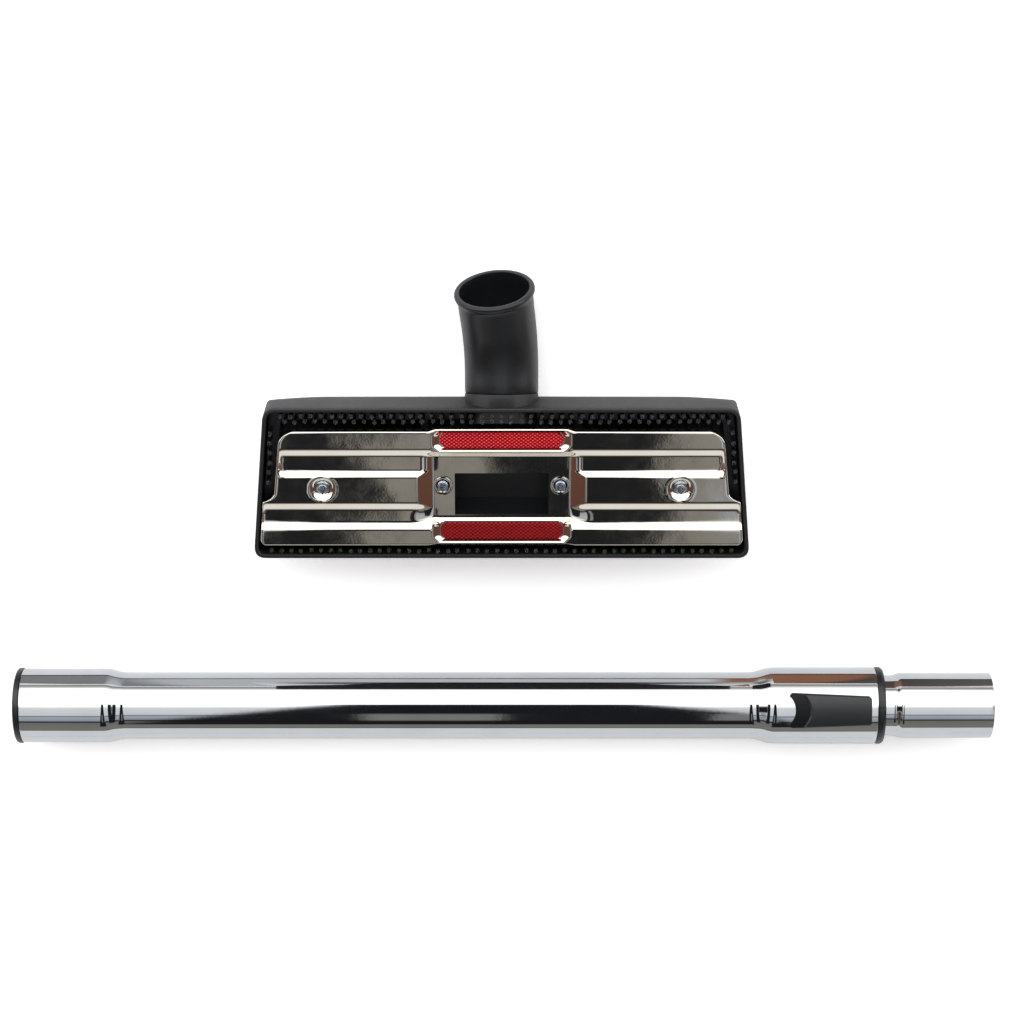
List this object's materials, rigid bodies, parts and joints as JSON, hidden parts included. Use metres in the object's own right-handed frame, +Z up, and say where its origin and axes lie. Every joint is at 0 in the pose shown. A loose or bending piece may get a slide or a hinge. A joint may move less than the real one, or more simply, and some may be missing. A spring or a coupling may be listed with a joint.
{
  "type": "vacuum floor tool with telescopic wand",
  "caption": "Vacuum floor tool with pressed metal sole, retracting brush and swivel neck, lying sole up beside its telescopic chrome wand.",
  "frame": {"origin": "centre of the flat on the hump of the floor tool's top cover, on the surface that both pieces lie on", "axes": "+X along the wand towards its inner tube's open end, +Y from the floor tool's front edge towards its neck, +Z up, out of the sole"},
  "size_m": [0.5541, 0.2745, 0.049],
  "materials": {
    "black_plastic": "satin moulded, fine texture",
    "nickel_plate": "bright nickel plate on pressed steel",
    "chrome_tube": "bright chrome plate on steel tube",
    "zinc": "bluish zinc plate",
    "red_weave": "coarse woven lint strip",
    "bristle": "black nylon filament",
    "felt": "felt"
  },
  "bodies": {
    "floor_tool": {"housing_shell": "black_plastic", "sole_plate": "nickel_plate", "lint_strip_rear": "red_weave", "lint_strip_front": "red_weave", "plate_screw_left": "zinc", "plate_screw_right": "zinc", "duct_screw_left": "zinc", "duct_screw_right": "zinc", "suction_duct": "black_plastic"},
    "brush": {"brush_frame": "black_plastic", "bristles_rear_outer": "bristle", "bristles_rear_inner": "bristle", "bristles_front": "bristle", "bristles_left": "bristle", "bristles_right": "bristle"},
    "pedal_rocker": {"pedal": "black_plastic", "pedal_shaft": "zinc", "pedal_lever_left": "zinc", "pedal_lever_right": "zinc"},
    "neck": {"neck_elbow": "black_plastic", "neck_seal_ring": "felt"},
    "wand": {"outer_tube": "chrome_tube", "socket_sleeve": "black_plastic", "collar_bush": "black_plastic", "latch_spring": "zinc"},
    "wand_button": {"latch_button": "black_plastic"},
    "wand_pawl": {"latch_pawl": "zinc"},
    "wand_inner": {"inner_tube": "chrome_tube", "glide_bush": "black_plastic"}
  },
  "joints": [
    {"name": "pedal_tilt", "type": "hinge", "parent": "floor_tool", "child": "pedal_rocker", "pos_m": [0, -0.021, 0.0066], "axis": [1, 0, 0], "range_deg": [0, 14]},
    {"name": "brush_lift", "type": "slide", "parent": "floor_tool", "child": "brush", "axis": [0, 0, 1], "range_m": [0, 0.007]},
    {"name": "neck_swivel", "type": "hinge", "parent": "floor_tool", "child": "neck", "pos_m": [0, 0.0476, 0.025], "axis": [0, 0.9703, -0.2419], "continuous": true},
    {"name": "wand_lift", "type": "slide", "parent": "floor_tool", "child": "wand", "axis": [0, 0, 1], "range_m": [0, 0.08]},
    {"name": "inner_extend", "type": "slide", "parent": "wand", "child": "wand_inner", "axis": [1, 0, 0], "range_m": [0, 0.336]},
    {"name": "button_slide", "type": "slide", "parent": "wand", "child": "wand_button", "axis": [-1, 0, 0], "range_m": [0, 0.004], "stiffness_N_per_m": 300, "springref_m": -0.001},
    {"name": "pawl_lift", "type": "slide", "parent": "wand", "child": "wand_pawl", "axis": [0, 0.2756, 0.9613], "range_m": [0, 0.0012]}
  ],
  "couplings": [
    {"joint": "pedal_tilt", "follows": "brush_lift", "rad_per_m": 34.9},
    {"joint": "pawl_lift", "follows": "button_slide", "ratio": 0.29}
  ]
}
